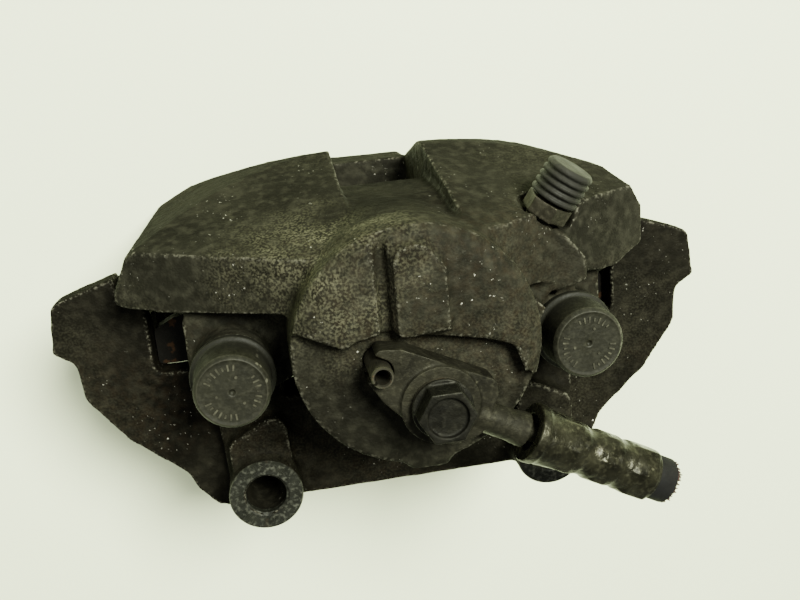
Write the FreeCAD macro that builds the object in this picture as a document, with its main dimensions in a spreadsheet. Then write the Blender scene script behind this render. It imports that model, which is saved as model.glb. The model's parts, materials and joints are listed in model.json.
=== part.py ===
"""Single-piston floating brake caliper with its carrier, pads and the stub of its hose.

Millimetres.  X runs along the car's brake disc, Y runs radially out of the disc and Z runs
inboard along the piston.  The origin is midway between the two bolt holes, on the ears' faces.
"""
import FreeCAD, Part
import math
import os

import Sketcher

SIZES = {
    # disc that the caliper straddles
    "disc_radius": 140.0,
    "disc_thick": 22.0,
    "disc_face": -46.5,
    "disc_drop": 115.0,
    "disc_gap": 3.5,
    "lining_gap": 0.5,
    # carrier
    "ear_spacing": 96.8,
    "ear_radius": 12.2,
    "ear_bore": 6.5,
    "plate_face": -20.6,
    "plate_thick": 11.4,
    "arm_inner": 90.8,
    "carrier_back": -89.0,
    "lug_face": -13.0,
    "lug_back": -26.0,
    "abutment_gap": 0.4,
    # guides
    "pin_spacing": 105.0,
    "pin_height": 47.3,
    "pin_radius": 5.5,
    "thread_radius": 4.5,
    "pin_end": 8.0,
    "bush_radius": 9.0,
    "running_gap": 0.04,
    "barrel_radius": 12.6,
    "barrel_back": -11.0,
    "barrel_face": 12.5,
    "cap_radius": 11.0,
    "cap_face": 27.3,
    # cylinder and piston
    "piston_height": 55.9,
    "piston_radius": 28.5,
    "piston_length": 50.0,
    "cylinder_radius": 35.8,
    "cylinder_mouth": -12.0,
    "cylinder_end": 34.0,
    "bore_end": 26.0,
    "plateau_top": 39.5,
    "seal_low": -7.0,
    "seal_width": 3.2,
    "seal_depth": 2.6,
    # housing
    "bridge_thick": 20.0,
    "wall_back": -19.4,
    "wall_face": -3.0,
    "half_width": 86.0,
    "window_left": -12.0,
    "window_right": 18.5,
    "finger_thick": 16.0,
    # pads
    "pad_half_width": 79.0,
    "plate_thickness": 6.0,
    "lining_thick": 12.0,
    # fluid fittings
    "washer_thick": 1.5,
    "eye_thick": 10.0,
    "eye_radius": 11.2,
    "bolt_radius": 5.0,
    "bolt_hex": 14.0,
    "bolt_head": 7.5,
    "bleed_hex": 13.0,
    "hose_radius": 6.7,
    "hose_bore": 3.0,
    "hose_start": 31.0,
    "hose_end": 75.5,
}

doc = FreeCAD.newDocument("brake_caliper")
sheet = doc.addObject("Spreadsheet::Sheet", "sizes")
for row, (alias, value) in enumerate(SIZES.items(), start=1):
    sheet.set("A%d" % row, alias)
    sheet.set("B%d" % row, str(value))
    sheet.setAlias("B%d" % row, alias)
doc.recompute()

PISTON_Y = sheet.piston_height
DISC_Y = sheet.piston_height - sheet.disc_drop
EAR_X = sheet.ear_spacing / 2
PIN_X = sheet.pin_spacing / 2
BRIDGE_INNER = sheet.disc_radius + sheet.disc_gap
BRIDGE_OUTER = BRIDGE_INNER + sheet.bridge_thick
INNER_LINING_LOW = sheet.disc_face + sheet.lining_gap
INNER_PLATE_LOW = INNER_LINING_LOW + sheet.lining_thick
PISTON_FRONT = INNER_PLATE_LOW + sheet.plate_thickness
OUTER_LINING_LOW = sheet.disc_face - sheet.disc_thick - sheet.lining_gap - sheet.lining_thick
FINGER_FACE = OUTER_LINING_LOW - sheet.plate_thickness
HOUSING_BACK = FINGER_FACE - sheet.finger_thick

BANJO = FreeCAD.Vector(3.2, 42.4, 0)
HOSE_TILT = -28.6
HOSE_Z = sheet.cylinder_end + sheet.washer_thick + sheet.eye_thick / 2
BLEED_SEAT = FreeCAD.Vector(42.8, 79.5, 7.5)
BLEED_AXIS = FreeCAD.Vector(0.50, 0.83, 0.25)
LOCATING_ALONG = -19.1
LOCATING_ACROSS = 2.6


# ---------------------------------------------------------------- drawing helpers

def new_body(label):
    """An empty body whose label is its node's name."""
    body = doc.addObject("PartDesign::Body", label)
    body.Label = label
    return body


def new_sketch(body, name, plane="XY_Plane", offset=None):
    """A sketch on one of the body's own planes; offset is an expression."""
    sketch = body.newObject("Sketcher::SketchObject", name)
    support = [item for item in body.Origin.OriginFeatures if item.Role == plane][0]
    sketch.AttachmentSupport = (support, [""])
    sketch.MapMode = "FlatFace"
    if offset is not None:
        sketch.setExpression("AttachmentOffset.Base.z", offset)
    return sketch


def rounded(before, corner, after, radius):
    """The tangent arc that rounds a corner: its start, middle and end."""
    into = (before - corner).normalize()
    out = (after - corner).normalize()
    half = into.getAngle(out) / 2
    reach = radius / math.tan(half)
    start = corner + into * reach
    end = corner + out * reach
    centre = corner + (into + out).normalize() * (radius / math.sin(half))
    middle = centre + (corner - centre).normalize() * radius
    return start, middle, end


def outline_edges(corners):
    """Closed outline through (x, y) corners.

    A third value rounds the corner.  A corner ("arc", x, y) is a point that the curve between
    its two neighbours passes through.
    """
    edges = []
    ends = []
    count = len(corners)
    for index, corner in enumerate(corners):
        if corner[0] == "arc":
            ends.append(None)
            continue
        point = FreeCAD.Vector(corner[0], corner[1], 0)
        if len(corner) == 3:
            before = FreeCAD.Vector(*corners[index - 1][:2], 0)
            after = FreeCAD.Vector(*corners[(index + 1) % count][:2], 0)
            start, middle, end = rounded(before, point, after, corner[2])
            edges.append(Part.Arc(start, middle, end))
            ends.append((start, end))
        else:
            ends.append((point, point))
    for index, corner in enumerate(corners):
        following = (index + 1) % count
        if corner[0] == "arc":
            middle = FreeCAD.Vector(corner[1], corner[2], 0)
            edges.append(Part.Arc(ends[index - 1][1], middle, ends[following][0]))
        elif corners[following][0] != "arc":
            edges.append(Part.LineSegment(ends[index][1], ends[following][0]))
    return edges


def mirrored(corners):
    """The same outline on the other side of the YZ plane."""
    flipped = []
    for corner in reversed(corners):
        if corner[0] == "arc":
            flipped.append(("arc", -corner[1], corner[2]))
        else:
            flipped.append((-corner[0],) + tuple(corner[1:]))
    return flipped


def sided(corners, side):
    """The outline as drawn for the right side (1), or mirrored for the left (-1)."""
    return corners if side > 0 else mirrored(corners)


def draw(sketch, corners):
    for edge in outline_edges(corners):
        sketch.addGeometry(edge, False)


def draw_circle(sketch, centre, radius):
    """A circle whose radius follows an expression."""
    circle = Part.Circle(FreeCAD.Vector(centre[0], centre[1], 0), FreeCAD.Vector(0, 0, 1), 1.0)
    index = sketch.addGeometry(circle, False)
    constraint = sketch.addConstraint(Sketcher.Constraint("Radius", index, 1.0))
    sketch.setExpression("Constraints[%d]" % constraint, radius)


def pad(body, sketch, length):
    """Material from the sketch up along its plane's normal."""
    feature = body.newObject("PartDesign::Pad", sketch.Name + "_pad")
    feature.Profile = sketch
    feature.setExpression("Length", length)
    sketch.Visibility = False
    return feature


def slab(body, name, corners, low, high):
    """An outline padded from height low to height high."""
    sketch = new_sketch(body, name, offset=low)
    draw(sketch, corners)
    return pad(body, sketch, "(%s) - (%s)" % (high, low))


def rod(body, name, centre, radius, low, high):
    """A round boss along Z."""
    sketch = new_sketch(body, name, offset=low)
    draw_circle(sketch, centre, radius)
    return pad(body, sketch, "(%s) - (%s)" % (high, low))


def pocket(body, sketch, length):
    """A cut from the sketch up along its plane's normal."""
    feature = body.newObject("PartDesign::Pocket", sketch.Name + "_pocket")
    feature.Profile = sketch
    feature.Reversed = True
    feature.setExpression("Length", length)
    sketch.Visibility = False
    return feature


def hollow(body, name, corners, low, high):
    """An outline cut out from height low to height high."""
    sketch = new_sketch(body, name, offset=low)
    draw(sketch, corners)
    return pocket(body, sketch, "(%s) - (%s)" % (high, low))


def bore(body, name, centre, radius, low, high):
    """A round hole along Z."""
    sketch = new_sketch(body, name, offset=low)
    draw_circle(sketch, centre, radius)
    return pocket(body, sketch, "(%s) - (%s)" % (high, low))


def turned(label, profile):
    """A body turned about its own Z axis from a closed (radius, height) profile."""
    body = new_body(label)
    sketch = new_sketch(body, label + "_profile", plane="XZ_Plane")
    draw(sketch, profile)
    feature = body.newObject("PartDesign::Revolution", label + "_turned")
    feature.Profile = sketch
    feature.ReferenceAxis = (sketch, ["V_Axis"])
    feature.Angle = 360.0
    sketch.Visibility = False
    return body


def hexagon(across_flats):
    """Corners of a hexagon of the given width across its flats."""
    reach = across_flats / math.sqrt(3)
    return [(reach * math.cos(math.radians(60 * step)), reach * math.sin(math.radians(60 * step)))
            for step in range(6)]


def along(axis, base):
    """The placement that stands a Z-axis piece at base, pointing along axis."""
    return FreeCAD.Placement(base, FreeCAD.Rotation(FreeCAD.Vector(0, 0, 1), axis))


def disc_arc(radius, x):
    """Height of a circle about the disc's axis, at x."""
    return DISC_Y + math.sqrt(radius ** 2 - x ** 2)


# ---------------------------------------------------------------- carrier

def carrier_bracket():
    body = new_body("carrier_bracket")
    cradle = sheet.cylinder_radius + 2.4
    cradle_x = math.sqrt(cradle ** 2 - (sheet.piston_height - 28.5) ** 2)
    beam = [(-60, -8.2, 4), (60, -8.2, 4), (60, 12), (46, 28.5), (cradle_x, 28.5),
            ("arc", 0, sheet.piston_height - cradle), (-cradle_x, 28.5), (-46, 28.5), (-60, 12)]
    slab(body, "beam", beam, "sizes.plate_face - sizes.plate_thick", "-12")
    reach = sheet.arm_inner
    shelf = sheet.pad_half_width + sheet.abutment_gap
    beside = sheet.half_width + 1.5
    block_top = disc_arc(BRIDGE_INNER - 1.5, shelf)
    for side, name in ((1, "right"), (-1, "left")):
        ear = (side * EAR_X, 0)
        rod(body, "ear_" + name, ear, "sizes.ear_radius", "-20", "0")
        neck = [(36, -4), (60, -6), (62, 30), (63.5, 47.3), ("arc", 52.5, 58.3), (41.5, 47.3), (38, 26)]
        slab(body, "neck_" + name, sided(neck, side), "sizes.lug_back", "sizes.lug_face")
        foot = [(38, 6), (58.5, 6), (59, 17, 4), (39.5, 27, 5)]
        slab(body, "foot_" + name, sided(foot, side), "sizes.lug_face", "-5")
        wing = [(56, -14, 5), (66, -12, 5), (72.5, -4, 6), (75, 2, 6), (92, 17, 10), (103.5, 33, 5),
                (104.5, 46, 2),
                (111, 50, 2), (109, 66.5, 4), (99, 70, 8), (beside, 73.5, 1), (beside, 63.5),
                (shelf, 63.5), (shelf, disc_arc(142, shelf)),
                (shelf, 39.5, 3), (68, 39.5), (60, 34), (44, 10)]
        slab(body, "wing_" + name, sided(wing, side), "sizes.plate_face - sizes.plate_thick",
             "sizes.plate_face")
        arm = [(reach, disc_arc(143.4, reach)), (97, disc_arc(143.4, 97)), (110, 50, 2),
               (109, 56, 3), (98, 60, 6),
               (reach, 61, 1)]
        slab(body, "arm_" + name, sided(arm, side), "sizes.carrier_back", "sizes.plate_face - 1")
        block = [(shelf, 34), (98, 34, 4), (98, disc_arc(142, 98)), (reach, disc_arc(142, reach)),
                 (shelf, block_top - 1)]
        slab(body, "inner_abutment_" + name, sided(block, side), "sizes.disc_face + 2",
             "sizes.plate_face - 5")
        outer = [(shelf, 39.5), (70, 39.5), (70, 28, 3), (92, 26, 8), (102, 36, 5), (111, 50, 2),
                 (98, 60, 2), (reach, 61), (reach, 54), (shelf, block_top - 1)]
        slab(body, "outer_abutment_" + name, sided(outer, side),
             "sizes.carrier_back", "sizes.disc_face - sizes.disc_thick - 2")
        bore(body, "ear_bore_" + name, ear, "sizes.ear_bore", "-40", "1")
        pin = (side * PIN_X, sheet.pin_height)
        bore(body, "pin_hole_" + name, pin, "sizes.thread_radius", "sizes.lug_back - 1",
             "sizes.lug_face + 1")
    return body


def guide_pin(name, side):
    """Screwed into the carrier, with a socket in its head for a hexagon key."""
    thread_back = sheet.lug_back
    profile = [(0, thread_back), (sheet.thread_radius, thread_back),
               (sheet.thread_radius, sheet.lug_face),
               (sheet.pin_radius, sheet.lug_face), (sheet.pin_radius, sheet.pin_end - 1),
               (sheet.pin_radius - 1, sheet.pin_end), (0, sheet.pin_end)]
    body = turned("guide_pin_" + name, profile)
    hollow(body, "key_socket_" + name, hexagon(7.0), "sizes.pin_end - 8", "sizes.pin_end + 1")
    body.Placement.Base = FreeCAD.Vector(side * PIN_X, sheet.pin_height, 0)
    return body


# ---------------------------------------------------------------- housing

def bridge_top(side, x):
    """Height of the bridge's outer face; the half that holds the bleed screw is fuller."""
    if side > 0:
        return DISC_Y - 1 + math.sqrt((BRIDGE_OUTER + 1) ** 2 - (x - 16) ** 2)
    return DISC_Y + math.sqrt(BRIDGE_OUTER ** 2 - x ** 2)


def bridge_half(name, side):
    """One half of the bridge over the disc, with its inboard wall, before its slopes are cut."""
    body = new_body("bridge_" + name)
    inner_x = sheet.window_right if side > 0 else -sheet.window_left
    outer_x = sheet.half_width - 2 * max(side, 0)
    middle = (inner_x + outer_x) / 2
    shoulder = outer_x - 5.5 - 2 * max(side, 0)
    arch = [(inner_x, disc_arc(BRIDGE_INNER, inner_x)), ("arc", 45, disc_arc(BRIDGE_INNER, 45)),
            (71, disc_arc(BRIDGE_INNER, 71)), (outer_x, 67, 3),
            (outer_x, bridge_top(side, outer_x) - 9, 3),
            (shoulder, bridge_top(side, shoulder)), ("arc", middle, bridge_top(side, middle)),
            (inner_x, bridge_top(side, inner_x))]
    slab(body, "arch_" + name, sided(arch, side), "%f" % HOUSING_BACK, "30")
    wall_x = outer_x - 0.8
    wall = [(inner_x, 65.5), (72, 65.5 - 3 * max(side, 0), 5), (wall_x, 68, 4),
            (wall_x, bridge_top(side, outer_x) - 9),
            (shoulder, bridge_top(side, shoulder) - 1), (inner_x, bridge_top(side, shoulder))]
    slab(body, "wall_" + name, sided(wall, side), "sizes.wall_back", "30")
    return body


def half_space(name, point, normal):
    """A block that fills everything beyond a plane."""
    block = doc.addObject("Part::Box", name)
    block.Length = 300
    block.Width = 300
    block.Height = 120
    turn = FreeCAD.Rotation(FreeCAD.Vector(0, 0, 1), normal)
    block.Placement = FreeCAD.Placement(point - turn.multVec(FreeCAD.Vector(150, 150, 0)), turn)
    return block


def sloped_half(name, side):
    """A bridge half with its crown, its slope down to the cylinder and its raked inboard face."""
    lift = 3.5 if side > 0 else 0
    cuts = doc.addObject("Part::MultiFuse", "slopes_" + name)
    cuts.Shapes = [
        half_space("inboard_slope_" + name, FreeCAD.Vector(side * 81.3, 85.3 + lift, -5),
                   FreeCAD.Vector(side * 0.084, 0.961, 0.263)),
        half_space("outboard_slope_" + name, FreeCAD.Vector(0, 104, -52),
                   FreeCAD.Vector(0, 0.966, -0.26)),
        half_space("raked_face_" + name, FreeCAD.Vector(side * 85, 0, -5),
                   FreeCAD.Vector(side * 0.4545, 0, 0.891)),
    ]
    half = doc.addObject("Part::Cut", "half_" + name)
    half.Base = bridge_half(name, side)
    half.Tool = cuts
    return half


def housing_core():
    """Cylinder, bosses, guide arms, the web under the window and the outboard fingers."""
    body = new_body("housing_core")
    centre = (0, PISTON_Y)
    rod(body, "cylinder", centre, "sizes.cylinder_radius", "sizes.cylinder_mouth", "sizes.cylinder_end")
    for side, name in ((1, "right"), (-1, "left")):
        arm = [(30, 74), (34, 40, 3), (45, 35.5, 6), (66.5, 40, 8), (66.5, 62), (60, 74)]
        slab(body, "guide_arm_" + name, sided(arm, side), "sizes.barrel_back", "2")
        pin = (side * PIN_X, sheet.pin_height)
        rod(body, "barrel_" + name, pin, "sizes.barrel_radius", "sizes.barrel_back", "sizes.barrel_face")
    web = new_sketch(body, "web", plane="YZ_Plane", offset="sizes.window_left - 2")
    under = disc_arc(BRIDGE_INNER, 0) + 0.2
    draw(web, [(70, sheet.wall_back), (under, sheet.wall_back), (under, -37), (93, -37),
               (91.3, -12), (86.5, 8), (70, 8)])
    pad(body, web, "sizes.window_right - sizes.window_left + 4")
    plateau_steps = ((35.6, "sizes.cylinder_end", "sizes.plateau_top - 3"),
                     (33.6, "sizes.plateau_top - 3", "sizes.plateau_top - 1.5"),
                     (31.2, "sizes.plateau_top - 1.5", "sizes.plateau_top"))
    for number, (radius, low, high) in enumerate(plateau_steps):
        side_x = radius * 0.97
        side_y = PISTON_Y + math.sqrt(radius ** 2 - side_x ** 2)
        low_y = PISTON_Y - math.sqrt(radius ** 2 - (side_x * 0.96) ** 2)
        plateau = [(-side_x, side_y), (-20.5, 58.6), (-17, 60.8), (-9.5, 61.8), (2, 60.2),
                   (20, 56.4), (26, 54),
                   (side_x * 0.96, low_y), ("arc", 0, PISTON_Y + radius)]
        slab(body, "plateau_%d" % number, plateau, low, high)
    tongue = [(-6.3, 61, 1), (9, 61.5, 1), (8.4, 80, 6), (2, 88, 6), (-6.3, 85, 4)]
    slab(body, "tongue", tongue, "sizes.cylinder_end", "sizes.plateau_top + 2.2")
    hollow(body, "groove", [(-10.2, 58), (-7.6, 58), (-7.6, 90), (-10.2, 90)],
           "sizes.plateau_top - 3.5", "sizes.plateau_top + 6")
    block = [(28, 60), (29, 81, 4), (36.5, 87, 3), (52, 77.5, 4), (58, 70), (58, 62.5, 2),
             (46, 60.4, 2), (38, 52)]
    slab(body, "bleed_block", block, "sizes.wall_face - 2", "14")
    flank = [(25, 58), (39.5, 61), (42.5, 57.5), (35.5, 44.5), (28, 32), (20, 36)]
    slab(body, "flank", flank, "-6", "20")
    lobe = [(-9, 24, 2), (9, 23, 2), (7, 17.5, 3), (-5, 17.8, 3)]
    slab(body, "lobe", lobe, "12", "sizes.cylinder_end - 1")
    return body


def outboard_wall():
    """The wall that joins the bridge halves outboard and carries the two fingers."""
    body = new_body("outboard_wall")
    fingers = [(-76, 62, 4), (-56, 48, 10), (-50, 27, 6), (-15, 24, 6), (-13, 52, 10), (13, 52, 10),
               (15, 24, 6),
               (50, 27, 6), (56, 48, 10), (76, 62, 4), (76, 70), (60, 88), (-60, 88), (-76, 70)]
    slab(body, "fingers", fingers, "%f" % HOUSING_BACK, "%f" % FINGER_FACE)
    left, right = sheet.window_left - 2, sheet.window_right + 2
    under = BRIDGE_INNER + 0.4
    rim = [(left, disc_arc(under, left)), ("arc", 3, disc_arc(under, 3)),
           (right, disc_arc(under, right)), (right, 96), (left, 96)]
    slab(body, "window_rim", rim, "%f" % HOUSING_BACK, "-79")
    return body


def joined(name, first, second):
    """Two solids joined into one."""
    result = doc.addObject("Part::Fuse", name)
    result.Base = first
    result.Tool = second
    return result


def drilling(name, radius, length, base, axis):
    """A round tool: radius and length are expressions or numbers."""
    tool = doc.addObject("Part::Cylinder", name)
    tool.setExpression("Radius", str(radius))
    tool.setExpression("Height", str(length))
    tool.Placement = along(axis, base)
    return tool


def caliper_housing():
    """The joined casting with its bores, grooves and drilled passages cut."""
    upright = FreeCAD.Vector(0, 0, 1)
    centre = FreeCAD.Vector(0, PISTON_Y, 0)
    locating = hose_point(LOCATING_ALONG, 28.5, LOCATING_ACROSS)
    casting = joined("housing_bridge", sloped_half("right", 1), sloped_half("left", -1))
    casting = joined("housing_yoke", casting, outboard_wall())
    casting = joined("housing_casting", casting, housing_core())
    holes = [
        drilling("piston_bore", "sizes.piston_radius + sizes.running_gap",
                 "sizes.bore_end - sizes.cylinder_mouth + 30",
                 centre + upright * (sheet.cylinder_mouth - 30), upright),
        drilling("seal_groove", "sizes.piston_radius + sizes.seal_depth", "sizes.seal_width",
                 centre + upright * sheet.seal_low, upright),
        drilling("boot_groove", "sizes.piston_radius + 3.4", 3,
                 centre + upright * (sheet.cylinder_mouth - 1), upright),
        drilling("inlet_hole", "sizes.bolt_radius", 30, BANJO + upright * (sheet.bore_end - 1), upright),
        drilling("locating_hole", 3.1, 20, locating, upright),
        drilling("bleed_hole", "sizes.bolt_radius", 24, BLEED_SEAT - BLEED_AXIS * 12, BLEED_AXIS),
        drilling("bleed_passage", 2, 32, BLEED_SEAT - BLEED_AXIS * 40, BLEED_AXIS),
        drilling("bleed_spotface", 9, 30, BLEED_SEAT + BLEED_AXIS * 4.6, BLEED_AXIS),
        drilling("boot_room", "sizes.piston_radius + 5.2", 12,
                 centre + upright * (sheet.cylinder_mouth - 12), upright),
    ]
    for side, name in ((1, "right"), (-1, "left")):
        base = FreeCAD.Vector(side * PIN_X, sheet.pin_height, sheet.barrel_back - 10)
        holes.append(drilling("guide_bore_" + name, "sizes.bush_radius", 50, base, upright))
    tools = doc.addObject("Part::MultiFuse", "housing_holes")
    tools.Shapes = holes
    housing = doc.addObject("Part::Cut", "caliper_housing")
    housing.Base = casting
    housing.Tool = tools
    return housing


def guide_bush(name, side):
    """Rubber sleeve in the housing, running on the guide pin, with a lip on its outboard end."""
    inner = sheet.pin_radius + sheet.running_gap
    back = sheet.barrel_back
    profile = [(inner, back - 1.6), (sheet.bush_radius + 2, back - 1.6), (sheet.bush_radius + 2, back),
               (sheet.bush_radius, back), (sheet.bush_radius, sheet.pin_end + 1.5),
               (inner, sheet.pin_end + 1.5)]
    body = turned("guide_bush_" + name, profile)
    body.Placement.Base = FreeCAD.Vector(side * PIN_X, sheet.pin_height, 0)
    return body


def guide_cap(name, side):
    """Hollow cap with a flange, plugged into the guide barrel."""
    face = sheet.cap_face
    base = sheet.barrel_face
    wall = sheet.cap_radius - 2.2
    profile = [(0, face - 1.1), (0.6, face - 1.1), (1.0, face - 0.25),
               (sheet.cap_radius - 1.7, face - 0.25),
               (sheet.cap_radius - 1.4, face), (sheet.cap_radius - 1.0, face),
               (sheet.cap_radius, face - 1.2),
               (sheet.cap_radius + 0.3, base + 3), (sheet.cap_radius + 1.7, base + 2.2),
               (sheet.cap_radius + 1.7, base), (sheet.bush_radius, base),
               (sheet.bush_radius, base - 2.4),
               (wall - 1.4, base - 2.4), (wall, base + 1), (wall, face - 3), (0, face - 3)]
    body = turned("guide_cap_" + name, profile)
    body.Placement.Base = FreeCAD.Vector(side * PIN_X, sheet.pin_height, 0)
    return body


# ---------------------------------------------------------------- hydraulics

def piston():
    front = PISTON_FRONT
    back = front + sheet.piston_length
    radius = sheet.piston_radius
    profile = [(0, back), (radius - 1.5, back), (radius, back - 1.5), (radius, front + 7),
               (radius - 2, front + 7),
               (radius - 2, front + 4), (radius, front + 4), (radius, front + 0.8),
               (radius - 0.8, front),
               (22, front), (22, back - 9), (0, back - 9)]
    body = turned("piston", profile)
    body.Placement.Base = FreeCAD.Vector(0, PISTON_Y, 0)
    return body


def piston_seal():
    inner = sheet.piston_radius + 0.02
    outer = sheet.piston_radius + sheet.seal_depth
    low = sheet.seal_low
    body = turned("piston_seal", [(inner, low), (outer, low), (outer, low + sheet.seal_width),
                                  (inner, low + sheet.seal_width)])
    body.Placement.Base = FreeCAD.Vector(0, PISTON_Y, 0)
    return body


def dust_boot():
    """Rubber bellows from the cylinder's mouth to the groove near the piston's front."""
    mouth = sheet.cylinder_mouth
    front = PISTON_FRONT + 4.2
    radius = sheet.piston_radius
    outside = [(radius + 0.4, front), (radius + 2.6, front), (radius + 4.4, front + 2.2),
               (radius + 2.8, front + 4.2),
               (radius + 4.4, front + 6.2), (radius + 4.6, mouth - 0.3), (radius + 3.3, mouth - 0.3),
               (radius + 3.3, mouth + 1.8)]
    inside = [(radius + 2.2, mouth + 1.8), (radius + 2.2, mouth - 1.5), (radius + 3.2, front + 6.2),
              (radius + 1.6, front + 4.2), (radius + 3.2, front + 2.2), (radius + 2.0, front + 1.2),
              (radius + 0.4, front + 1.2)]
    body = turned("dust_boot", outside + inside)
    body.Placement.Base = FreeCAD.Vector(0, PISTON_Y, 0)
    return body


def hose_point(distance, height, across=0):
    """A point along and across the hose fitting, measured from the banjo bolt's axis."""
    turn = math.radians(HOSE_TILT)
    x = BANJO.x + distance * math.cos(turn) - across * math.sin(turn)
    y = BANJO.y + distance * math.sin(turn) + across * math.cos(turn)
    return FreeCAD.Vector(x, y, height)


def banjo_washer(name, low):
    body = turned("banjo_washer_" + name, [(sheet.bolt_radius + 0.2, low), (8.2, low),
                                           (8.2, low + sheet.washer_thick),
                                           (sheet.bolt_radius + 0.2, low + sheet.washer_thick)])
    body.Placement.Base = BANJO
    return body


def banjo_bolt():
    """Hollow bolt with a hexagon head, drilled along and across for the fluid."""
    seat = sheet.cylinder_end + 2 * sheet.washer_thick + sheet.eye_thick
    radius = sheet.bolt_radius
    profile = [(2, sheet.bore_end + 0.5), (radius - 1, sheet.bore_end + 0.5),
               (radius, sheet.bore_end + 1.5),
               (radius, seat - 7), (radius - 1, seat - 6.4), (radius - 1, seat), (8.6, seat),
               (8.6, seat + 1.2), (0, seat + 1.2),
               (0, seat - 1.6), (2, seat - 3.4)]
    body = turned("banjo_bolt", profile)
    slab(body, "bolt_head", hexagon(sheet.bolt_hex), "%f" % (seat + 1), "%f" % (seat + sheet.bolt_head))
    bore(body, "head_dish", (0, 0), "5.5", "%f" % (seat + sheet.bolt_head - 1.2),
         "%f" % (seat + sheet.bolt_head + 1))
    cross = new_sketch(body, "cross_hole", plane="XZ_Plane")
    circle = Part.Circle(FreeCAD.Vector(0, HOSE_Z, 0), FreeCAD.Vector(0, 0, 1), 1.5)
    cross.addGeometry(circle, False)
    feature = body.newObject("PartDesign::Pocket", "cross_drilling")
    feature.Profile = cross
    feature.Midplane = True
    feature.Length = 20
    body.Placement.Base = BANJO
    return body


def banjo_fitting():
    """Plated eye block with a forked tail for the locating pin and a neck for the hose."""
    body = new_body("banjo_fitting")
    low = "sizes.cylinder_end + sizes.washer_thick"
    high = "sizes.cylinder_end + sizes.washer_thick + sizes.eye_thick"
    block = [(-22.3, -0.8, 1.5), (-14.8, -5.2, 3), (-7.7, -7.6, 5), (0, -10, 5), (9, -10, 4),
             (15, -4, 4),
             (14.4, 8, 4), (11.9, 11.9, 2.5), (-16.3, 10.6, 3), (-22.5, 8, 2)]
    slab(body, "eye_block", block, low, high + " - 1")
    rod(body, "eye_ring", (0, 0), "sizes.eye_radius", high + " - 2", high)
    neck = new_sketch(body, "neck_profile", plane="XZ_Plane")
    draw(neck, [(10, HOSE_Z), (10, HOSE_Z + 4.7), (22, HOSE_Z + 4.7), (26, HOSE_Z + 5.2),
                (27.6, HOSE_Z + 5.2),
                (27.6, HOSE_Z + 2.8), (58, HOSE_Z + 2.8), (58, HOSE_Z)])
    turn = body.newObject("PartDesign::Revolution", "neck_turned")
    neck.addGeometry(Part.LineSegment(FreeCAD.Vector(10, HOSE_Z, 0), FreeCAD.Vector(60, HOSE_Z, 0)),
                     True)
    turn.Profile = neck
    turn.ReferenceAxis = (neck, ["Axis0"])
    turn.Angle = 360.0
    bore(body, "eye_bore", (0, 0), "sizes.bolt_radius + 0.6", "sizes.cylinder_end", high + " + 1")
    middle = LOCATING_ACROSS
    fork = [(-30, middle - 3.5), (LOCATING_ALONG, middle - 3.5), ("arc", LOCATING_ALONG + 3.5, middle),
            (LOCATING_ALONG, middle + 3.5), (-30, middle + 3.5)]
    hollow(body, "fork", fork, "sizes.cylinder_end", high + " + 1")
    drilling = new_sketch(body, "drilling", plane="YZ_Plane")
    drilling.addGeometry(Part.Circle(FreeCAD.Vector(0, HOSE_Z, 0), FreeCAD.Vector(0, 0, 1), 1.6), False)
    feature = body.newObject("PartDesign::Pocket", "fluid_drilling")
    feature.Profile = drilling
    feature.Reversed = True
    feature.Length = 70
    body.Placement = FreeCAD.Placement(BANJO, FreeCAD.Rotation(FreeCAD.Vector(0, 0, 1), HOSE_TILT))
    return body


def along_hose(body):
    """Lays a Z-axis piece along the hose."""
    direction = hose_point(1, 0) - hose_point(0, 0)
    body.Placement = along(direction, hose_point(0, HOSE_Z))
    return body


def hose_ferrule():
    """Steel sleeve with a collar, crimped onto the hose in two waists."""
    start = sheet.hose_start - 2.4
    outside = [(5.3, start), (8.9, start, 0.6), (8.9, start + 3), (8.5, start + 3.4),
               (8.5, start + 14, 3), (7.2, start + 17.5, 2),
               (7.2, start + 19, 2), (8.2, start + 22, 2), (8.2, start + 26, 2),
               (7.4, start + 28.5, 2), (7.4, start + 30, 2),
               (8.5, start + 33, 2), (8.5, start + 40, 1.2), (7.4, start + 41.2)]
    inside = [(sheet.hose_radius, start + 41.2), (sheet.hose_radius, start + 2.4), (5.3, start + 2.4)]
    return along_hose(turned("hose_ferrule", outside + inside))


def hose_stub():
    profile = [(sheet.hose_bore, sheet.hose_start + 0.2), (sheet.hose_radius, sheet.hose_start + 0.2),
               (sheet.hose_radius, sheet.hose_end), (sheet.hose_bore, sheet.hose_end)]
    return along_hose(turned("hose_stub", profile))


def locating_pin():
    """Rolled spring pin, split along its length."""
    body = turned("locating_pin", [(2.1, 28.8), (3.1, 28.8), (3.1, 48.3), (2.8, 48.8), (2.4, 48.8),
                                   (2.1, 48.3)])
    hollow(body, "pin_split", [(0, -0.4), (5, -0.4), (5, 0.4), (0, 0.4)], "20", "60")
    body.Placement = FreeCAD.Placement(hose_point(LOCATING_ALONG, 0, LOCATING_ACROSS),
                                       FreeCAD.Rotation(FreeCAD.Vector(0, 0, 1), 215))
    return body


def bleed_screw():
    profile = [(0, -11.5), (2.2, -11.5), (4, -9.5), (sheet.bolt_radius - 0.06, -9.5),
               (sheet.bolt_radius - 0.06, 4.2), (3.9, 4.2), (3.9, 5.2),
               (5.9, 5.2), (5.9, 10), (3.6, 11), (3.6, 14.5), (2.8, 15.5), (2.8, 17), (4, 18),
               (4, 19.2), (3, 20.6), (0, 20.6)]
    body = turned("bleed_screw", profile)
    slab(body, "bleed_hexagon", hexagon(sheet.bleed_hex), "5.4", "10.6")
    bore(body, "bleed_bore", (0, 0), "1.2", "-6", "21")
    body.Placement = along(BLEED_AXIS, BLEED_SEAT)
    return body


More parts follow.
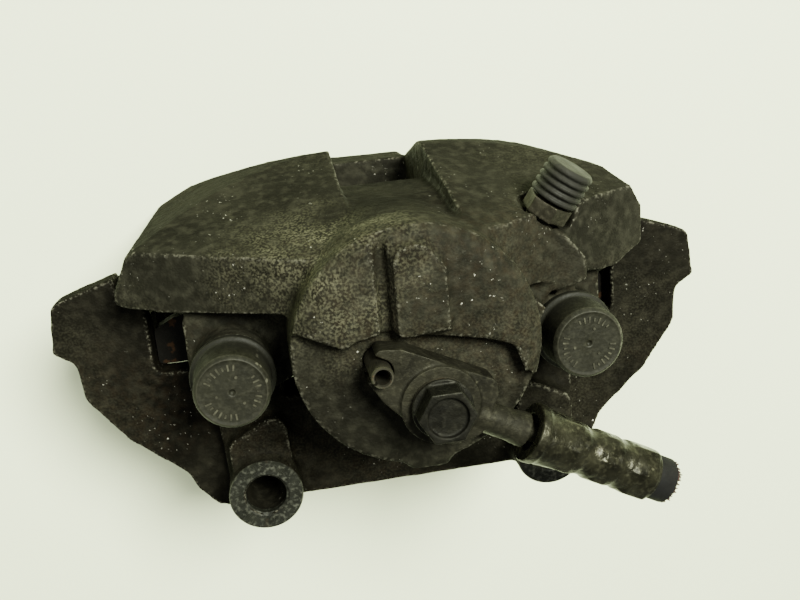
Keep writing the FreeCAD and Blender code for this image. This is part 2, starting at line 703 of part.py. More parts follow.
def bleed_screw_cap():
    """Rubber dust cap with rings round it."""
    outside = [(4.3, 11.4), (7.4, 11.4)]
    for ring in range(4):
        height = 11.4 + 2.2 * ring
        outside += [(7.7, height + 0.4), (7.7, height + 1.3), (6.9, height + 1.6), (6.9, height + 2.1)]
    outside += [(7.5, 20.6), (7.5, 21.4), (6.6, 22.4), (0, 22.7), (0, 20.9), (4.3, 20.9)]
    body = turned("bleed_screw_cap", outside)
    body.Placement = along(BLEED_AXIS, BLEED_SEAT)
    return body


# ---------------------------------------------------------------- pads

def pad_plate(name, low):
    half = sheet.pad_half_width
    top = sheet.disc_radius + 1
    right = [(52, 30, 3), (60, 38, 2), (66, 40.2), (half, 40.2, 1.5), (half, 52.5, 2), (72, 56, 3),
             (66, 57),
             (66, disc_arc(top, 66))]
    outline = right + [("arc", 0, disc_arc(top, 0))] + mirrored(right)
    body = new_body("pad_plate_" + name)
    slab(body, "plate_" + name, outline, low, "(%s) + sizes.plate_thickness" % low)
    return body


def pad_lining(name, low):
    """Friction block with bevelled ends and a wear groove down its middle."""
    outer = sheet.disc_radius - 1.5
    right = [(44, 33, 3), (60, 44, 3), (60, disc_arc(outer, 60))]
    outline = right + [("arc", 0, disc_arc(outer, 0))] + mirrored(right)
    body = new_body("pad_lining_" + name)
    slab(body, "lining_" + name, outline, low, "(%s) + sizes.lining_thick" % low)
    return body


def pad_clip():
    """Spring clip on the inner pad: a disc and three sprung fingers inside the piston."""
    body = new_body("pad_clip")
    low = "%f" % PISTON_FRONT
    rod(body, "clip_disc", (0, 0), "15", low, low + " + 1")
    for step in range(3):
        angle = math.radians(90 + 120 * step)
        along_x, along_y = math.cos(angle), math.sin(angle)

        def at(distance, across):
            return (distance * along_x - across * along_y, distance * along_y + across * along_x)

        slab(body, "leg_%d" % step, [at(10, -4), at(20.2, -4), at(20.2, 4), at(10, 4)], low,
             low + " + 1")
        slab(body, "finger_%d" % step, [at(19.2, -4), at(20.2, -4), at(20.2, 4), at(19.2, 4)], low,
             low + " + 11")
    body.Placement.Base = FreeCAD.Vector(0, PISTON_Y, 0)
    return body


# ---------------------------------------------------------------- assembly

def build():
    parts = [carrier_bracket(), caliper_housing(), piston(), piston_seal(), dust_boot(), banjo_bolt(),
             banjo_fitting(), hose_ferrule(), hose_stub(), locating_pin(), bleed_screw(),
             bleed_screw_cap()]
    parts.append(banjo_washer("inner", sheet.cylinder_end))
    parts.append(banjo_washer("outer", sheet.cylinder_end + sheet.washer_thick + sheet.eye_thick))
    for side, name in ((-1, "left"), (1, "right")):
        parts += [guide_pin(name, side), guide_bush(name, side), guide_cap(name, side)]
    parts.append(pad_plate("inner", "%f" % INNER_PLATE_LOW))
    parts.append(pad_lining("inner", "%f" % INNER_LINING_LOW))
    parts.append(pad_clip())
    parts.append(pad_plate("outer", "%f" % FINGER_FACE))
    parts.append(pad_lining("outer", "%f" % OUTER_LINING_LOW))
    doc.recompute()
    return parts


def check(parts):
    """Stops on any failed object or bad shape."""
    for item in doc.Objects:
        if "Invalid" in item.State or "Error" in item.State:
            raise RuntimeError("%s did not recompute: %s" % (item.Name, item.State))
    for part in parts:
        if part.Shape.isNull() or not part.Shape.isValid():
            raise RuntimeError("%s has a bad shape" % part.Label)


def export(parts):
    os.makedirs("parts", exist_ok=True)
    for part in parts:
        part.Shape.exportStep("parts/%s.step" % part.Label)
        print("%-22s %9.0f mm3  %d solid" % (part.Label, part.Shape.Volume, len(part.Shape.Solids)))


assembly = build()
check(assembly)
export(assembly)
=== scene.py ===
"""Looks of the brake caliper: worn sand-cast iron, plated fittings, rubber and plastic.

Metres, in the row frame: X along the disc, Y out of the disc, Z inboard along the piston.
"""
import json
import math
import random

import bpy
import bmesh
from mathutils import Matrix, Vector


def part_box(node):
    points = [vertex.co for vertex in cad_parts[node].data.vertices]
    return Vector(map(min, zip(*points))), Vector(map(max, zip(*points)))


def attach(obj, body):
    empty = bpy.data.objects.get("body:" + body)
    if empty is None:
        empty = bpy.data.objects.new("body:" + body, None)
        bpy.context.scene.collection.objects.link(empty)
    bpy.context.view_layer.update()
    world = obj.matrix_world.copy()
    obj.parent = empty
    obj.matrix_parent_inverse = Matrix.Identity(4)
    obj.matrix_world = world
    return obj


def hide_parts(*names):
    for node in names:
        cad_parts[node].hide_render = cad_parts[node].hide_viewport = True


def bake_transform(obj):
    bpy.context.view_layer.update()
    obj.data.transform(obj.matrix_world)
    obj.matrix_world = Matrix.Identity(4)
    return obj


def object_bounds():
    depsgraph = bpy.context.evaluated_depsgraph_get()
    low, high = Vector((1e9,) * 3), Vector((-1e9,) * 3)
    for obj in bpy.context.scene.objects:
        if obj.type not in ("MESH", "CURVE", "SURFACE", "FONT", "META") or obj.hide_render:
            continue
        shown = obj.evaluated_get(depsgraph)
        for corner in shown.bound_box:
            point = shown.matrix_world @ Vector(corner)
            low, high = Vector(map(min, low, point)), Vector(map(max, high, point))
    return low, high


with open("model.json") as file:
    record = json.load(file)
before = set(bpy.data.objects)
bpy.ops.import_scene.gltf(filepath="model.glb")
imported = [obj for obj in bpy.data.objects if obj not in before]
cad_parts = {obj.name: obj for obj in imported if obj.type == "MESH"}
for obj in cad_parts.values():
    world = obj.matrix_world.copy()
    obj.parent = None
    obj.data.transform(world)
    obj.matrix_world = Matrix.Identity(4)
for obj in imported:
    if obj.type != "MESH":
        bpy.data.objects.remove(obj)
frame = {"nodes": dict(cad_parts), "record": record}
size_at_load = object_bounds()

MM = 0.001
FLOOR_Z = size_at_load[0][2]
EAR_X = 48.4 * MM                # from the middle to an ear's bolt hole
CRIMPED_LENGTH = 42 * MM         # of the ferrule, back from the hose's cut end
CRIMP_FLATS = 6
LEAST_SLEEVE = 7.2 * MM          # nothing nearer to the hose's axis than this is pressed
# Places on the cast iron darkened nearly to black as painted shade, each with its reach.
PAINTED_SHADE_PLACES = (((-14 * MM, 36 * MM, 50 * MM), 34 * MM),     # the lower half of the cylinder's end
               ((-3 * MM, 91 * MM, -2 * MM), 26 * MM),      # the web under the window
               ((3 * MM, 95 * MM, -38 * MM), 18 * MM),      # the wall behind the window
               ((-46 * MM, 22 * MM, 8 * MM), 22 * MM))      # the carrier's left cradle
DUSTY_SHOULDER = (-24 * MM, 84 * MM, 22 * MM)


# ---------------------------------------------------------------- shader helpers

class Look:
    """A Principled material that grows out of a few noise fields in object space."""

    def __init__(self, name):
        self.material = bpy.data.materials.new(name)
        self.material.use_nodes = True
        self.tree = self.material.node_tree
        self.shader = self.tree.nodes["Principled BSDF"]
        self.place = self.tree.nodes.new("ShaderNodeTexCoord").outputs["Object"]
        self.height = None

    def put(self, value, socket):
        if isinstance(value, bpy.types.NodeSocket):
            self.tree.links.new(value, socket)
        elif isinstance(value, tuple):
            socket.default_value = (*value, 1.0)
        else:
            socket.default_value = value

    def noise(self, scale, low=0.3, high=0.7, detail=5.0, stretch=(1, 1, 1)):
        """Noise of so many cells a metre, spread so that low..high becomes 0..1."""
        mapping = self.tree.nodes.new("ShaderNodeMapping")
        mapping.inputs["Scale"].default_value = stretch
        self.put(self.place, mapping.inputs["Vector"])
        texture = self.tree.nodes.new("ShaderNodeTexNoise")
        texture.inputs["Scale"].default_value = scale
        texture.inputs["Detail"].default_value = detail
        self.put(mapping.outputs["Vector"], texture.inputs["Vector"])
        return self.spread(texture.outputs["Fac"], low, high)

    def cells(self, scale, low=0.0, high=0.5):
        """Rounded pits or grains, 0 at their centres."""
        texture = self.tree.nodes.new("ShaderNodeTexVoronoi")
        texture.inputs["Scale"].default_value = scale
        self.put(self.place, texture.inputs["Vector"])
        return self.spread(texture.outputs["Distance"], low, high)

    def ridges(self, low=0.52, high=0.6):
        """1 on outer edges of the mesh, 0 on flats and in hollows."""
        geometry = self.tree.nodes.new("ShaderNodeNewGeometry")
        return self.spread(geometry.outputs["Pointiness"], low, high)

    def hollows(self, low=0.49, high=0.42):
        """1 in inner corners of the mesh, 0 on flats and edges."""
        geometry = self.tree.nodes.new("ShaderNodeNewGeometry")
        return self.spread(geometry.outputs["Pointiness"], low, high)

    def along(self, axis, low, high):
        """0 where the coordinate is at low, 1 where it is at high."""
        split = self.tree.nodes.new("ShaderNodeSeparateXYZ")
        self.put(self.place, split.inputs[0])
        return self.spread(split.outputs[axis], low, high)

    def facing_out(self, low=0.3, high=0.9):
        """1 on faces turned out of the disc."""
        geometry = self.tree.nodes.new("ShaderNodeNewGeometry")
        split = self.tree.nodes.new("ShaderNodeSeparateXYZ")
        self.put(geometry.outputs["Normal"], split.inputs[0])
        return self.spread(split.outputs["Y"], low, high)

    def near(self, point, reach):
        """1 at a point, falling to 0 at a distance from it."""
        gap = self.tree.nodes.new("ShaderNodeVectorMath")
        gap.operation = "DISTANCE"
        self.put(self.place, gap.inputs[0])
        gap.inputs[1].default_value = point
        return self.spread(gap.outputs["Value"], reach, 0.0)

    def spread(self, value, low, high, to_low=0.0, to_high=1.0):
        """A value carried from low..high to to_low..to_high, and held there beyond."""
        node = self.tree.nodes.new("ShaderNodeMapRange")
        node.inputs["From Min"].default_value = low
        node.inputs["From Max"].default_value = high
        node.inputs["To Min"].default_value = to_low
        node.inputs["To Max"].default_value = to_high
        self.put(value, node.inputs["Value"])
        return node.outputs["Result"]

    def sums(self, operation, a, b):
        node = self.tree.nodes.new("ShaderNodeMath")
        node.operation = operation
        self.put(a, node.inputs[0])
        self.put(b, node.inputs[1])
        return node.outputs[0]

    def times(self, a, b):
        return self.sums("MULTIPLY", a, b)

    def mix(self, factor, a, b):
        node = self.tree.nodes.new("ShaderNodeMix")
        node.data_type = "RGBA"
        self.put(factor, node.inputs["Factor"])
        self.put(a, node.inputs[6])
        self.put(b, node.inputs[7])
        return node.outputs[2]

    def bump(self, value, distance, strength=1.0):
        node = self.tree.nodes.new("ShaderNodeBump")
        node.inputs["Distance"].default_value = distance
        node.inputs["Strength"].default_value = strength
        self.put(value, node.inputs["Height"])
        if self.height is not None:
            self.put(self.height, node.inputs["Normal"])
        self.height = node.outputs["Normal"]

    def done(self, colour, roughness, metallic=0.0, specular=0.5):
        self.put(colour, self.shader.inputs["Base Color"])
        self.put(roughness, self.shader.inputs["Roughness"])
        self.put(metallic, self.shader.inputs["Metallic"])
        self.put(specular, self.shader.inputs["Specular IOR Level"])
        if self.height is not None:
            self.put(self.height, self.shader.inputs["Normal"])
        return self.material


# ---------------------------------------------------------------- materials

def shade(colour, share):
    """A colour made darker or lighter by a factor."""
    return tuple(share * part for part in colour)


def cast_iron(name, tint, dust_amount):
    """Oily sand-cast iron with a lime dust in its pores and bright specks on its worn edges, darkened
    as painted shade in its inner corners and round a few listed places.
    """
    look = Look(name)
    colour = look.mix(look.noise(45), shade(tint, 0.45), tint)
    colour = look.mix(look.noise(300, 0.45, 0.8), colour, shade(tint, 1.9))
    rust = look.times(look.noise(14, 0.52, 0.72), look.noise(420, 0.4, 0.7))
    colour = look.mix(look.times(rust, 0.3), colour, (0.024, 0.015, 0.008))
    dusty = look.near(DUSTY_SHOULDER, 40 * MM)
    wide = look.times(look.noise(26, 0.46, 0.72), dust_amount)
    patches = look.sums("MAXIMUM", wide, look.times(dusty, look.noise(80, 0.32, 0.66)))
    dust = look.times(patches, look.noise(1300, 0.44, 0.62))
    colour = look.mix(look.times(dust, 0.75), colour, (0.145, 0.142, 0.088))
    specks = look.times(look.noise(800, 0.68, 0.73), look.noise(60, 0.50, 0.68))
    colour = look.mix(specks, colour, (0.40, 0.39, 0.33))
    worn = look.times(look.ridges(0.515, 0.57), look.noise(1000, 0.50, 0.62))
    colour = look.mix(look.times(worn, 0.75), colour, (0.17, 0.165, 0.125))
    # painted shade: inner corners of the mesh darkened nearly to black
    colour = look.mix(look.times(look.hollows(), 0.8), colour, (0.0015, 0.0015, 0.0008))
    # painted shade: darkens the cast iron nearly to black round each listed place
    for place, reach in PAINTED_SHADE_PLACES:
        colour = look.mix(look.times(look.near(place, reach), 0.8), colour, (0.0012, 0.0011, 0.0006))
    look.bump(look.noise(260, 0.2, 0.8), 0.0007, 0.5)
    look.bump(look.noise(1300, 0.2, 0.8), 0.00025, 0.6)
    look.bump(look.cells(600), 0.0002, 0.35)
    skin = look.spread(look.noise(180), 0, 1, 0.48, 0.72)
    dull = look.times(look.facing_out(), 0.97)
    roughness = look.sums("MAXIMUM", skin, dull)
    return look.done(colour, roughness, metallic=look.times(worn, 0.3), specular=0.02)


def zinc(name, base, dark, shine=0.34):
    """Yellowed zinc plating with painted shade darkening its corners, and polished high spots."""
    look = Look(name)
    colour = look.mix(look.noise(160), dark, base)
    stained = look.times(look.noise(700, 0.5, 0.75), 0.5)
    colour = look.mix(stained, colour, shade(base, 2.4))
    rubbed = look.times(look.ridges(0.53, 0.62), look.noise(500, 0.42, 0.62))
    colour = look.mix(look.times(rubbed, 0.55), colour, tuple(min(0.6, 5 * part) for part in base))
    # painted shade: inner corners of the plating darkened
    painted_corner_shade = look.times(look.hollows(0.49, 0.44), 0.8)
    colour = look.mix(painted_corner_shade, colour, shade(dark, 0.4))
    look.bump(look.noise(420, 0.2, 0.8), 0.0003, 0.5)
    look.bump(look.noise(2200, 0.2, 0.8), 0.0001, 0.5)
    roughness = look.spread(look.noise(260, 0.35, 0.7), 0, 1, shine, shine + 0.3)
    return look.done(colour, roughness, metallic=0.5, specular=0.12)


def steel(name, base, shine=0.35):
    """Bare steel with brown stains."""
    look = Look(name)
    colour = look.mix(look.noise(120), shade(base, 0.55), base)
    colour = look.mix(look.times(look.noise(500, 0.58, 0.7), 0.6), colour, (0.10, 0.06, 0.03))
    look.bump(look.noise(900, 0.2, 0.8), 0.0001, 0.5)
    return look.done(colour, look.spread(look.noise(300), 0, 1, shine, shine + 0.25), metallic=0.85)


def rubber(name, base, dust, roughness=0.6):
    """Matt rubber with dust lying on it in patches."""
    look = Look(name)
    colour = look.mix(look.noise(90), shade(base, 0.6), base)
    colour = look.mix(look.times(look.noise(45, 0.45, 0.75), look.noise(900, 0.4, 0.7)), colour, dust)
    look.bump(look.noise(1200, 0.2, 0.8), 0.00015, 0.6)
    roughness = look.spread(look.noise(150), 0, 1, roughness, roughness + 0.25)
    return look.done(colour, roughness, specular=0.2)


def cap_plastic(name):
    """Moulded plastic greyed by brake dust, lighter on its rim and marks, with painted shade darkening
    its side towards the housing.
    """
    look = Look(name)
    colour = look.mix(look.noise(110), (0.0048, 0.0048, 0.0029), (0.0098, 0.0097, 0.0059))
    colour = look.mix(look.times(look.noise(800, 0.45, 0.7), 0.35), colour, (0.026, 0.0255, 0.017))
    colour = look.mix(look.times(look.ridges(0.51, 0.58), 0.6), colour, (0.07, 0.068, 0.048))
    # painted shade: the cap's side darkens towards the housing, from 24 mm down to 13 mm in Z
    colour = look.mix(look.along(2, 24 * MM, 13 * MM), colour, (0.007, 0.007, 0.005))
    look.bump(look.noise(1100, 0.2, 0.8), 0.00012, 0.6)
    return look.done(colour, look.spread(look.noise(200), 0, 1, 0.46, 0.68), specular=0.12)


def cap_mark_plastic(name):
    """The same plastic, rubbed paler where it stands proud."""
    look = Look(name)
    colour = look.mix(look.noise(600, 0.35, 0.65), (0.012, 0.0115, 0.007), (0.040, 0.039, 0.026))
    look.bump(look.noise(1100, 0.2, 0.8), 0.00012, 0.6)
    return look.done(colour, look.spread(look.noise(200), 0, 1, 0.45, 0.65), specular=0.18)


def black_paint_as_shade(name):
    """Thin black paint with rusty chips, on the pads' backing plates, made near-black so that the
    plates seen through the carrier's openings also stand for painted shade.
    """
    look = Look(name)
    # painted shade: the plates are near-black partly to stand for the shade in the carrier's openings
    colour = look.mix(look.noise(80), (0.0025, 0.0025, 0.002), (0.006, 0.0055, 0.0045))
    chips = look.times(look.noise(240, 0.60, 0.66), 0.8)
    colour = look.mix(chips, colour, (0.030, 0.016, 0.008))
    look.bump(look.noise(700, 0.2, 0.8), 0.0002, 0.5)
    return look.done(colour, look.spread(look.noise(200), 0, 1, 0.6, 0.85), specular=0.05)


def friction_block(name):
    """Pressed lining with brass-coloured flecks."""
    look = Look(name)
    colour = look.mix(look.noise(900, 0.35, 0.65), (0.030, 0.028, 0.026), (0.085, 0.078, 0.070))
    colour = look.mix(look.noise(1600, 0.64, 0.68), colour, (0.42, 0.30, 0.14))
    look.bump(look.noise(1000, 0.3, 0.7), 0.0003, 0.8)
    return look.done(colour, look.spread(look.noise(300), 0, 1, 0.7, 0.95))


def machined_face(name):
    """Bare faced iron, greyed and lightly rusted."""
    look = Look(name)
    colour = look.mix(look.noise(160), (0.0045, 0.0048, 0.0034), (0.0135, 0.0142, 0.0102))
    colour = look.mix(look.times(look.noise(700, 0.5, 0.7), 0.6), colour, (0.075, 0.077, 0.060))
    colour = look.mix(look.noise(95, 0.6, 0.75), colour, (0.03, 0.020, 0.010))
    look.bump(look.noise(900, 0.2, 0.8), 0.0002, 0.7)
    return look.done(colour, look.spread(look.noise(220), 0, 1, 0.35, 0.6), metallic=0.3, specular=0.2)


def frayed_cord(name):
    """Dark red reinforcing yarn."""
    look = Look(name)
    colour = look.mix(look.noise(700, 0.4, 0.65), (0.018, 0.006, 0.004), (0.050, 0.022, 0.013))
    look.bump(look.noise(1500, 0.2, 0.8), 0.0003, 0.8)
    return look.done(colour, look.spread(look.noise(300), 0, 1, 0.8, 0.95))


def table_top(name):
    """Plain pale floor."""
    look = Look(name)
    colour = look.mix(look.noise(3, 0.2, 0.8), (0.86, 0.95, 0.62), (0.88, 0.97, 0.64))
    look.bump(look.noise(400, 0.2, 0.8), 0.0001, 0.2)
    return look.done(colour, look.spread(look.noise(20), 0, 1, 0.42, 0.5), specular=0.3)


LOOKS = {
    "carrier_iron": cast_iron("carrier_iron_look", (0.0062, 0.0058, 0.0040), 0.10),
    "housing_iron": cast_iron("housing_iron_look", (0.0112, 0.0109, 0.0077), 0.12),
    "pin_steel": steel("pin_steel_look", (0.30, 0.28, 0.22)),
    "bush_rubber": rubber("bush_rubber_look", (0.012, 0.012, 0.010), (0.04, 0.038, 0.026)),
    "cap_plastic": cap_plastic("cap_plastic_look"),
    "piston_steel": steel("piston_steel_look", (0.60, 0.60, 0.57), 0.18),
    "seal_rubber": rubber("seal_rubber_look", (0.014, 0.014, 0.014), (0.03, 0.03, 0.028)),
    "boot_rubber": rubber("boot_rubber_look", (0.014, 0.014, 0.013), (0.06, 0.055, 0.045)),
    "fitting_zinc": zinc("fitting_zinc_look", (0.0160, 0.0154, 0.0100), (0.0058, 0.0055, 0.0035), 0.48),
    "bolt_steel": zinc("bolt_steel_look", (0.0090, 0.0088, 0.0064), (0.0034, 0.0033, 0.0023), 0.42),
    "washer_metal": steel("washer_metal_look", (0.12, 0.11, 0.08)),
    "ferrule_zinc": zinc("ferrule_zinc_look", (0.024, 0.0235, 0.0145), (0.0045, 0.0043, 0.0026), 0.17),
    "hose_rubber": rubber("hose_rubber_look", (0.0024, 0.0023, 0.0021), (0.0050, 0.0045, 0.0038), 0.75),
    "locating_steel": steel("locating_steel_look", (0.055, 0.052, 0.037)),
    "bleed_steel": zinc("bleed_steel_look", (0.030, 0.028, 0.019), (0.012, 0.011, 0.007), 0.42),
    "bleed_cap_rubber": rubber("bleed_cap_rubber_look", (0.0085, 0.0084, 0.0058),
                               (0.019, 0.0185, 0.013), 0.58),
    "plate_steel": black_paint_as_shade("plate_steel_look"),
    "lining": friction_block("lining_look"),
    "clip_steel": steel("clip_steel_look", (0.30, 0.29, 0.25)),
}


# ---------------------------------------------------------------- pieces

def slot_of(node):
    """The record's material slot of a CAD node."""
    for part in frame["record"]["subparts"]:
        if part["node"] == node:
            return part["material_slot"]


def paint(thing, material):
    thing.data.materials.clear()
    thing.data.materials.append(material)


def smooth_faces(mesh):
    for face in mesh.polygons:
        face.use_smooth = True


def as_piece(name, mesh, body, slot, material=None):
    """A new visible piece that rides on a CAD body."""
    thing = bpy.data.objects.new(name, mesh)
    bpy.context.scene.collection.objects.link(thing)
    paint(thing, material or LOOKS[slot])
    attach(thing, body)
    return thing


def cloud(name, size):
    """Soft lumps of a given size, for pressing into a mesh."""
    texture = bpy.data.textures.new(name, "CLOUDS")
    texture.noise_scale = size
    texture.noise_depth = 3
    return texture


def baked(thing):
    """The mesh of an object with its modifiers applied."""
    graph = bpy.context.evaluated_depsgraph_get()
    graph.update()
    return bpy.data.meshes.new_from_object(thing.evaluated_get(graph))


def body_with(node):
    """The CAD body that a node belongs to."""
    for body, nodes in frame["record"]["behaviour"]["bodies"].items():
        if node in nodes:
            return body


def skinned(node, voxel, passes, roughen):
    """A denser copy of a CAD node, with rounded corners and small marks pressed into it."""
    source = frame["nodes"][node]
    work = bpy.data.objects.new(node + "_work", source.data.copy())
    bpy.context.scene.collection.objects.link(work)
    remesh = work.modifiers.new("skin", "REMESH")
    remesh.mode = "VOXEL"
    remesh.voxel_size = voxel
    remesh.use_smooth_shade = True
    smooth = work.modifiers.new("fillets", "SMOOTH")
    smooth.factor = 0.5
    smooth.iterations = passes
    wide, fine = 9 * MM, 2.2 * MM
    for size, depth in ((wide, roughen * 2), (fine, roughen)):
        press = work.modifiers.new("sand", "DISPLACE")
        press.texture = cloud("sand_%d" % (size * 10000), size)
        press.texture_coords = "LOCAL"
        press.strength = depth
        press.mid_level = 1.0
    mesh = baked(work)
    bpy.data.objects.remove(work)
    if node == "hose_ferrule":
        crimp(mesh)
    smooth_faces(mesh)
    skin = as_piece(node + "_skin", mesh, body_with(node), slot_of(node))
    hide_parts(node)
    return skin


def soften(node, width):
    """Rounds the sharp corners of a turned or pressed CAD node."""
    thing = frame["nodes"][node]
    bevel = thing.modifiers.new("edge", "BEVEL")
    bevel.width = width
    bevel.segments = 3
    bevel.limit_method = "ANGLE"
    bevel.angle_limit = math.radians(28)
    bevel.use_clamp_overlap = True
    bevel.harden_normals = True
    paint(thing, LOOKS[slot_of(node)])


def add_block(mesh, centre, sizes, angle=0.0):
    """A small box in a bmesh, turned about Z."""
    turned = Matrix.Rotation(angle, 4, "Z") @ Matrix.Diagonal((*sizes, 1.0))
    bmesh.ops.create_cube(mesh, size=1.0, matrix=Matrix.Translation(centre) @ turned)


def finished(mesh, name):
    """Turns a bmesh into a named mesh."""
    data = bpy.data.meshes.new(name)
    mesh.to_mesh(data)
    mesh.free()
    return data


def cap_marks(side, name):
    """Raised moulded ticks and dots round the face of a guide cap."""
    low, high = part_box("guide_cap_" + name)
    centre = Vector(((low[0] + high[0]) / 2, (low[1] + high[1]) / 2, high[2]))
    face = centre - Vector((0, 0, 0.33 * MM))
    mesh = bmesh.new()
    for step in range(30):
        in_gap = step % 10 > 6
        if in_gap:
            continue
        angle = math.radians(12 * step + 40 * side)
        spoke = Vector((math.cos(angle), math.sin(angle), 0))
        length = 1.9 * MM if step % 3 else 1.1 * MM
        add_block(mesh, face + spoke * 7.4 * MM, (length, 0.5 * MM, 0.5 * MM), angle)
    for step in range(3):
        angle = math.radians(120 * step + 70)
        spot = face + Vector((math.cos(angle), math.sin(angle), 0)) * 4.6 * MM
        bmesh.ops.create_cone(mesh, cap_ends=True, segments=16, radius1=0.6 * MM, radius2=0.4 * MM,
                              depth=0.5 * MM, matrix=Matrix.Translation(spot))
    marks = finished(mesh, "marks_" + name)
    look = cap_mark_plastic("cap_mark_look_" + name)
    return as_piece("guide_cap_%s_marks" % name, marks, "housing", "cap_plastic", look)


def on_ear(side, radius, angle, height):
    """A point round the axis of an ear's bolt hole."""
    return Vector((side * EAR_X + math.cos(angle) * radius, math.sin(angle) * radius, height))


def ring_faces(mesh, loops, segments):
    """Joins neighbouring loops of vertices with faces."""
    for low, high in zip(loops, loops[1:]):
        for step in range(segments):
            after = (step + 1) % segments
            mesh.faces.new((low[step], low[after], high[after], high[step]))
    bmesh.ops.recalc_face_normals(mesh, faces=mesh.faces)


def ear_serrations(side, name):
    """Radial knurling round the bore of a bolt ear, on its machined face."""
    mesh = bmesh.new()
    inner, outer = 7.6 * MM, 11.2 * MM
    spokes = 44
    for step in range(spokes):
        place = on_ear(side, (inner + outer) / 2, 2 * math.pi * step / spokes, 0)
        add_block(mesh, place, (outer - inner, 0.45 * MM, 0.30 * MM), 2 * math.pi * step / spokes)
    serrations = finished(mesh, "serration_" + name)
    look = machined_face("serration_look_" + name)
    return as_piece("ear_serration_" + name, serrations, "carrier", "carrier_iron", look)


def ear_ring(side, name):
    """The faced ring and bright chamfer round an ear's bore."""
    mesh = bmesh.new()
    profile = [(6.55, -3.0), (6.6, -0.9), (7.5, 0.03), (11.7, 0.03), (12.05, -0.5)]
    segments = 72
    loops = []
    for radius, height in profile:
        loop = []
        for step in range(segments):
            place = on_ear(side, radius * MM, 2 * math.pi * step / segments, height * MM)
            loop.append(mesh.verts.new(place))
        loops.append(loop)
    ring_faces(mesh, loops, segments)
    ring = finished(mesh, "ring_" + name)
    look = machined_face("ring_look_" + name)
    return as_piece("ear_ring_" + name, ring, "carrier", "carrier_iron", look)


def crimp(mesh):
    """Presses flats round the ferrule's bulges, as the crimping jaws leave them."""
    end, way = hose_direction()
    upright = Vector((0, 0, 1))
    side = way.cross(upright)
    least = LEAST_SLEEVE + 0.3 * MM
    sector = 2 * math.pi / CRIMP_FLATS
    for vertex in mesh.vertices:
        reach = vertex.co - end
        along = reach.dot(way)
        across = reach - way * along
        if across.length <= LEAST_SLEEVE:
            continue
        angle = math.atan2(across.dot(upright), across.dot(side)) + 0.35
        flat = math.cos(sector / 2) / math.cos(angle % sector - sector / 2)
        depth = 0.6 * min(1.0, max(0.0, (along + CRIMPED_LENGTH) / (6 * MM)))
        pressed = across * (1 - depth * (1 - flat))
        if pressed.length < least:
            pressed = across.normalized() * min(across.length, least)
        vertex.co = end + way * along + pressed


def hose_direction():
    """Centre of the hose's cut end and the way it points, from the CAD node's own vertices."""
    points = [Vector(vertex.co) for vertex in frame["nodes"]["hose_stub"].data.vertices]
    middle = sum(points, Vector()) / len(points)
    bolt = frame["nodes"]["banjo_bolt"].data.vertices
    start = sum((Vector(vertex.co) for vertex in bolt), Vector()) / len(bolt)
    way = Vector((middle.x - start.x, middle.y - start.y, 0)).normalized()
    length = max((point - middle).dot(way) for point in points)
    return middle + way * length, way


def frayed_end():
    """Torn reinforcing cords standing out of the hose's cut end."""
    end, way = hose_direction()
    upright = Vector((0, 0, 1))
    side = way.cross(upright)
    rooted = 0.7 * MM
    chance = random.Random(7)
    mesh = bmesh.new()
    for cord in range(320):
        angle = 2 * math.pi * chance.random()
        radius = (4.6 + 1.7 * chance.random()) * MM
        length = (1.0 + 1.3 * chance.random()) * MM
        around = side * math.cos(angle) + upright * math.sin(angle)
        lean = (way + around * (chance.random() - 0.4) * 0.7).normalized()
        turn = lean.to_track_quat("Z", "Y").to_matrix().to_4x4()
        place = end + around * radius + lean * (length / 2 - rooted)
        bmesh.ops.create_cone(mesh, cap_ends=True, segments=5, radius1=0.42 * MM, radius2=0.16 * MM,
                              depth=length, matrix=Matrix.Translation(place) @ turn)
    look = frayed_cord("frayed_cord_look")
    return as_piece("hose_frayed_cords", finished(mesh, "frayed"), "housing", "hose_rubber", look)


def boot_bellows():
    """Rubber dust boot with folds, standing between the cylinder's mouth and the piston's nose."""
    low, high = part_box("dust_boot")
    centre = Vector(((low[0] + high[0]) / 2, (low[1] + high[1]) / 2, 0))
    outer = (high[0] - low[0]) / 2
    inner = 28.7 * MM
    mesh = bmesh.new()
    rows, segments, folds = 48, 64, 3
    loops = []
    for row in range(rows + 1):
        share = row / rows
        height = high[2] + (low[2] - high[2]) * share
        spread = 0.5 + 0.5 * math.cos(2 * math.pi * folds * share)
        radius = inner + (outer - inner) * (0.25 + 0.75 * spread) * (1 - 0.35 * share)
        loop = []
        for step in range(segments):
            angle = 2 * math.pi * step / segments
            around = Vector((math.cos(angle) * radius, math.sin(angle) * radius, height))
            loop.append(mesh.verts.new(centre + around))
        loops.append(loop)
    ring_faces(mesh, loops, segments)
    data = finished(mesh, "bellows")
    smooth_faces(data)
    boot = bpy.data.objects.new("dust_boot_bellows", data)
    bpy.context.scene.collection.objects.link(boot)
    paint(boot, LOOKS["boot_rubber"])
    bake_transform(boot)
    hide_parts("dust_boot")
    return boot


# Each skinned node's voxel size in mm, its rounds of smoothing, and the depth of its marks in mm.
SKINS = {
    "caliper_housing": (0.9, 7, 0.22),
    "carrier_bracket": (0.9, 6, 0.18),
    "banjo_fitting": (0.35, 5, 0.10),
    "banjo_bolt": (0.3, 3, 0.06),
    "hose_ferrule": (0.4, 4, 0.14),
    "guide_cap_left": (0.35, 3, 0.04),
    "guide_cap_right": (0.35, 3, 0.04),
    "bleed_screw": (0.3, 2, 0.05),
    "bleed_screw_cap": (0.3, 3, 0.05),
}


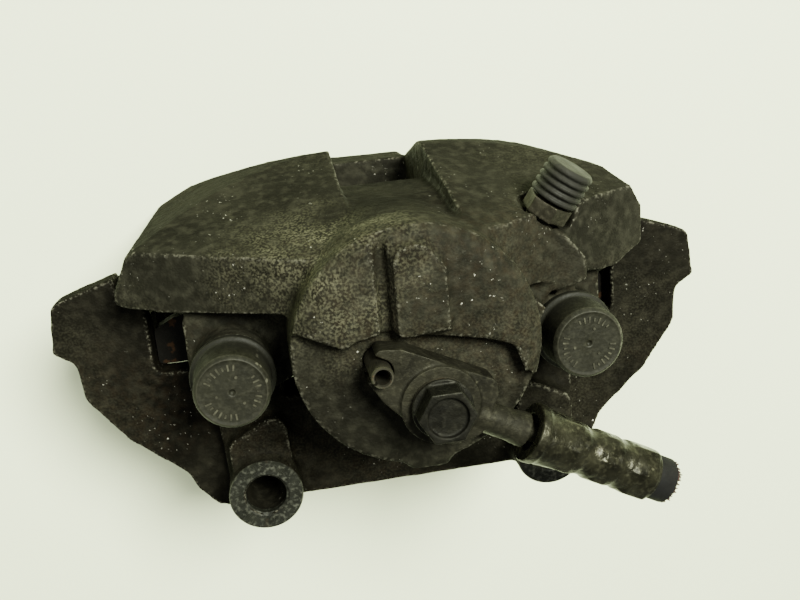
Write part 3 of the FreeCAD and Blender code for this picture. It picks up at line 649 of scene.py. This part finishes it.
def build_pieces():
    for node, (voxel, passes, roughen) in SKINS.items():
        skinned(node, voxel * MM, passes, roughen * MM)
    for node in frame["nodes"]:
        if node not in SKINS and node != "dust_boot":
            soften(node, 0.3 * MM)
    boot_bellows()
    for side, name in ((1, "right"), (-1, "left")):
        cap_marks(side, name)
        ear_ring(side, name)
        ear_serrations(side, name)
    frayed_end()


# ---------------------------------------------------------------- stage

def soft_light(name, place, aim, size, power, colour):
    """A round area lamp turned towards a point."""
    data = bpy.data.lights.new(name, "AREA")
    data.shape = "DISK"
    data.size = size
    data.energy = power
    data.color = colour
    lamp = bpy.data.objects.new(name, data)
    lamp.location = place
    lamp.rotation_euler = (Vector(aim) - Vector(place)).to_track_quat("-Z", "Y").to_euler()
    bpy.context.scene.collection.objects.link(lamp)


def build_stage():
    """Pale floor under the caliper, one key light from the top right and a weak fill."""
    mesh = bmesh.new()
    bmesh.ops.create_grid(mesh, x_segments=1, y_segments=1, size=3.0)
    bmesh.ops.translate(mesh, verts=mesh.verts, vec=(0, 0, FLOOR_Z - 0.0002))
    floor = bpy.data.objects.new("table_top", finished(mesh, "table_top"))
    bpy.context.scene.collection.objects.link(floor)
    paint(floor, table_top("table_top_look"))
    soft_light("key_light", (0.45, 0.75, 1.3), (0, 0.04, 0), 0.6, 112, (0.96, 1.0, 0.85))
    soft_light("fill_light", (-0.6, 0.5, 1.2), (0, 0.04, 0), 0.9, 7, (0.97, 1.0, 0.96))
    world = bpy.data.worlds.new("studio")
    world.use_nodes = True
    background = world.node_tree.nodes["Background"]
    background.inputs["Color"].default_value = (0.95, 1.0, 0.89, 1.0)
    background.inputs["Strength"].default_value = 0.38
    bpy.context.scene.world = world


def build_camera():
    """The camera at the photograph's viewing angle, 0.3 m from the caliper."""
    right = Vector((0.9826, -0.0826, 0.1664))
    up = Vector((0.1245, 0.9577, -0.2595))
    back = -Vector((0.1379, -0.2757, -0.9513))
    turn = Matrix((right, up, back)).transposed().to_4x4()
    data = bpy.data.cameras.new("camera")
    data.sensor_width = 36
    data.lens = 38.1
    data.clip_start = 0.01
    camera = bpy.data.objects.new("camera", data)
    camera.matrix_world = Matrix.Translation(Vector((-35.8, 133.6, 253.43)) * MM) @ turn
    bpy.context.scene.collection.objects.link(camera)
    bpy.context.scene.camera = camera


build_pieces()
build_stage()
build_camera()
